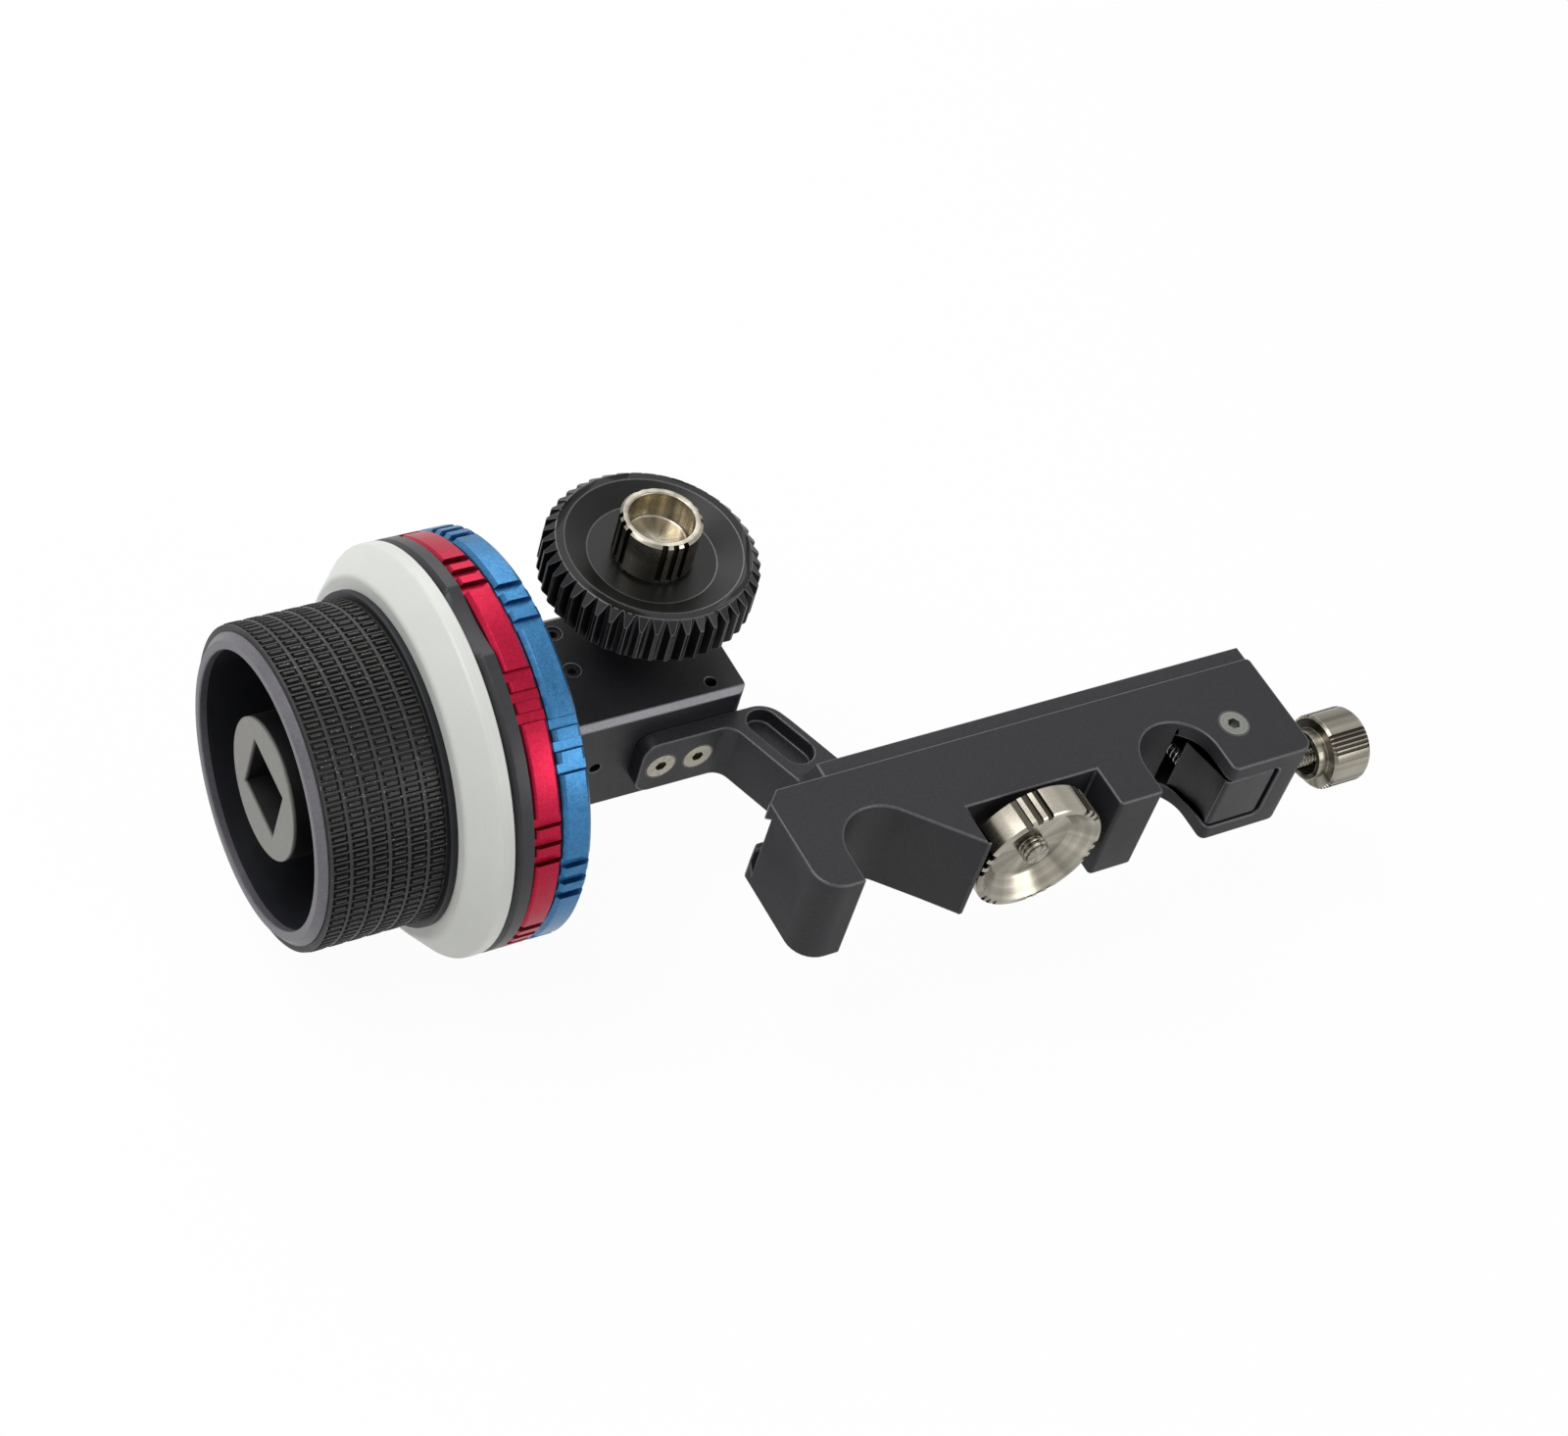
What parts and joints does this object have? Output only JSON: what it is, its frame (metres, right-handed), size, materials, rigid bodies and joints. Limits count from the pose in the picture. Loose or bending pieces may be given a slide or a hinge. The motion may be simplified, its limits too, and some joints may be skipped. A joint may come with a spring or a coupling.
{
  "type": "follow focus unit",
  "caption": "Follow focus with a ribbed handwheel, marking disc, stop rings, gearbox and lens gear, on a sliding rail and a two-rod clamp with a hinged jaw",
  "frame": {"origin": "axis of the left rod seat, half way through the clamp", "axes": "+Z runs along the rods and the lens gear's axis; +X runs along the handwheel's axis, away from the handwheel; the rods enter the clamp from -Y"},
  "size_m": [0.1903, 0.0926, 0.073],
  "materials": {
    "clamp_finish": "black anodised, fine satin blasted surface",
    "jaw_finish": "black anodised, satin",
    "arm_finish": "black anodised, satin, bright machined edges",
    "gearbox_finish": "black anodised, satin",
    "index_finish": "black anodised, satin turned",
    "core_finish": "black anodised, turned",
    "rim_finish": "dark grey anodised, turned",
    "boss_finish": "grey anodised, turned face",
    "grip_rubber": "black ribbed rubber with light dust",
    "seal_rubber": "black rubber",
    "marking_white": "white writable plastic, satin",
    "red_anodised": "red anodised, satin",
    "blue_anodised": "blue anodised, satin",
    "gear_finish": "black anodised, cut teeth",
    "bright_nickel": "polished nickel plate",
    "satin_nickel": "warm satin nickel plate, turned",
    "zinc_steel": "zinc plated steel",
    "black_steel": "black oxide steel",
    "plain_steel": "plain turned steel",
    "bronze": "plain bronze"
  },
  "bodies": {
    "clamp": {"clamp_block": "clamp_finish", "jaw_pivot_screw": "zinc_steel"},
    "jaw": {"clamp_jaw": "jaw_finish", "jaw_spring": "plain_steel"},
    "jaw_screw_foot": {"jaw_screw_pad": "bronze"},
    "jaw_screw": {"jaw_screw_stud": "satin_nickel", "jaw_screw_knob": "satin_nickel"},
    "lock_foot": {"lock_shoe": "bronze"},
    "lock": {"lock_stud": "satin_nickel", "lock_wheel": "satin_nickel", "lock_jam_nut": "plain_steel"},
    "carriage": {"slide_rail": "clamp_finish", "rail_screws": "plain_steel", "bracket_arm": "arm_finish", "bracket_screws": "satin_nickel", "gearbox_housing": "gearbox_finish", "gearbox_set_screws": "black_steel", "output_neck": "gearbox_finish", "bottom_cap": "gearbox_finish", "ring_hub": "gearbox_finish", "ring_orings": "seal_rubber", "index_ring": "index_finish", "index_ring_screws": "plain_steel", "input_bushes": "bronze", "output_bushes": "bronze"},
    "handwheel": {"input_shaft": "plain_steel", "input_gear": "plain_steel", "handwheel_core": "core_finish", "rim_ring": "rim_finish", "rubber_grip": "grip_rubber", "socket_boss": "boss_finish", "socket_screw": "plain_steel", "marking_disc": "marking_white", "marking_disc_screws": "plain_steel"},
    "lens_gear": {"output_shaft": "plain_steel", "output_gear": "bronze", "drive_gear": "gear_finish"},
    "gear_retainer": {"gear_washer": "plain_steel"},
    "cap": {"gear_cap": "bright_nickel"},
    "red_ring": {"stop_ring_red": "red_anodised"},
    "blue_ring": {"stop_ring_blue": "blue_anodised"}
  },
  "joints": [
    {"name": "carriage_slide", "type": "slide", "parent": "clamp", "child": "carriage", "axis": [1, 0, 0], "range_m": [-0.045, 0.025]},
    {"name": "handwheel_turn", "type": "hinge", "parent": "carriage", "child": "handwheel", "pos_m": [-0.06, 0.0497, -0.0014], "axis": [1, 0, 0], "continuous": true},
    {"name": "lens_gear_turn", "type": "hinge", "parent": "carriage", "child": "lens_gear", "pos_m": [-0.0201, 0.0556, 0.02], "axis": [0, 0, 1], "continuous": true},
    {"name": "cap_lift", "type": "slide", "parent": "lens_gear", "child": "gear_retainer", "axis": [0, 0, 1], "range_m": [0, 0.0008]},
    {"name": "cap_turn", "type": "hinge", "parent": "gear_retainer", "child": "cap", "pos_m": [-0.0201, 0.0556, 0.03], "axis": [0, 0, 1], "range_deg": [0, 361]},
    {"name": "red_ring_turn", "type": "hinge", "parent": "carriage", "child": "red_ring", "pos_m": [-0.0545, 0.0497, -0.0014], "axis": [1, 0, 0], "continuous": true},
    {"name": "blue_ring_turn", "type": "hinge", "parent": "carriage", "child": "blue_ring", "pos_m": [-0.0494, 0.0497, -0.0014], "axis": [1, 0, 0], "continuous": true},
    {"name": "lock_travel", "type": "slide", "parent": "clamp", "child": "lock_foot", "axis": [0, 1, 0], "range_m": [-0.001, 0]},
    {"name": "lock_turn", "type": "hinge", "parent": "lock_foot", "child": "lock", "pos_m": [0.03, 0, 0], "axis": [0, 1, 0], "range_deg": [-451, 0]},
    {"name": "jaw_screw_travel", "type": "slide", "parent": "clamp", "child": "jaw_screw_foot", "axis": [1, 0, 0], "range_m": [-0.0007, 0]},
    {"name": "jaw_screw_turn", "type": "hinge", "parent": "jaw_screw_foot", "child": "jaw_screw", "pos_m": [0.09, -0.0009, 0], "axis": [1, 0, 0], "range_deg": [-361, 0]},
    {"name": "jaw_swing", "type": "hinge", "parent": "clamp", "child": "jaw", "pos_m": [0.0735, 0.0035, 0], "axis": [0, 0, 1], "range_deg": [-8.9, 0]}
  ],
  "couplings": [
    {"joint": "lens_gear_turn", "follows": "handwheel_turn", "ratio": -1},
    {"joint": "cap_turn", "follows": "cap_lift", "rad_per_m": 7854},
    {"joint": "lock_turn", "follows": "lock_travel", "rad_per_m": 7854},
    {"joint": "jaw_screw_turn", "follows": "jaw_screw_travel", "rad_per_m": 8976},
    {"joint": "jaw_swing", "follows": "jaw_screw_travel", "rad_per_m": 221.8}
  ]
}
